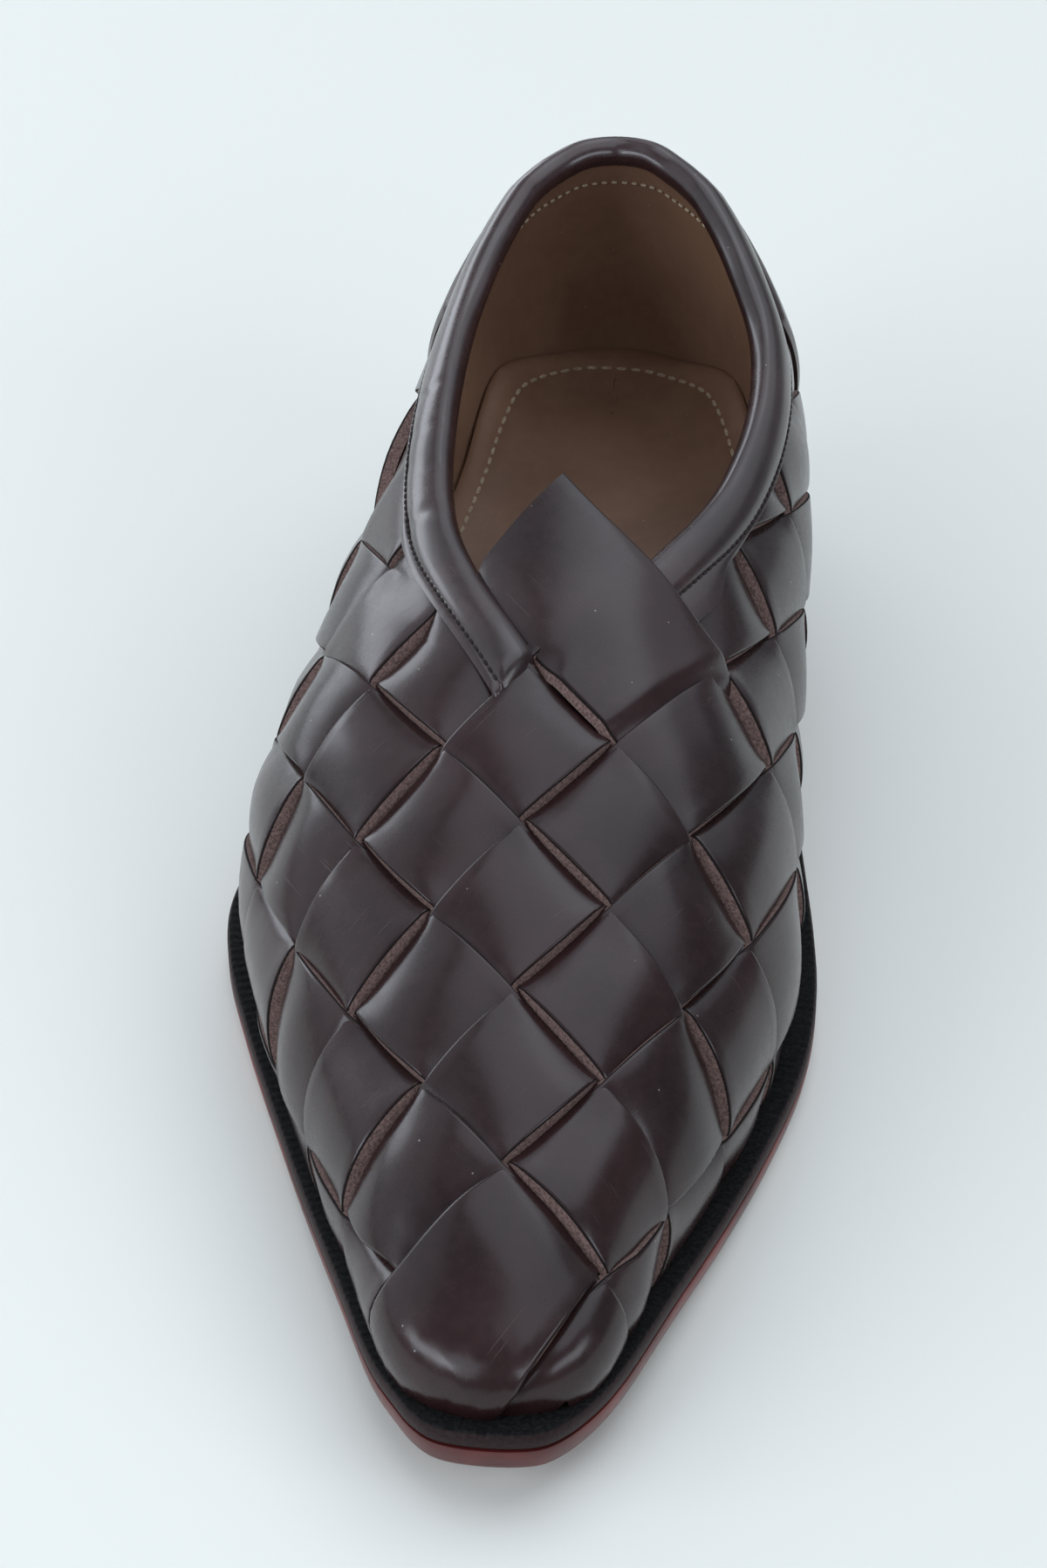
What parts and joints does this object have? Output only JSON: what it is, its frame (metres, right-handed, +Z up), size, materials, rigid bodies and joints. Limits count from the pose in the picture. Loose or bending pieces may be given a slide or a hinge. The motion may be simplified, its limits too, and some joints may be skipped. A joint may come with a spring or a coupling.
{
  "type": "woven leather slip-on shoe",
  "caption": "Right jutti slip-on with a hollow diagonal-woven leather upper, folded collar band, throat tab, smooth heel counter, black welt, leather sole and low heel.",
  "frame": {"origin": "middle of the shoe's box, on the floor", "axes": "+Y from the toe to the heel, +X towards the inner side of the foot, +Z up"},
  "size_m": [0.103, 0.2892, 0.0832],
  "materials": {
    "outsole": "burnished red edge, satin",
    "welt": "black, fibrous and matte",
    "heel": "dark stacked leather, satin",
    "insole": "brown lining leather, matte",
    "upper": "dark brown, semi-gloss, woven strips with raw edges",
    "counter": "dark brown, smooth, semi-gloss",
    "collar_band": "dark brown, folded, semi-gloss",
    "throat_tab": "dark brown, semi-gloss"
  },
  "bodies": {
    "root": {"outsole": "outsole", "welt": "welt", "heel": "heel", "insole": "insole", "upper": "upper", "counter": "counter", "collar_band": "collar_band", "throat_tab": "throat_tab"}
  },
  "joints": []
}
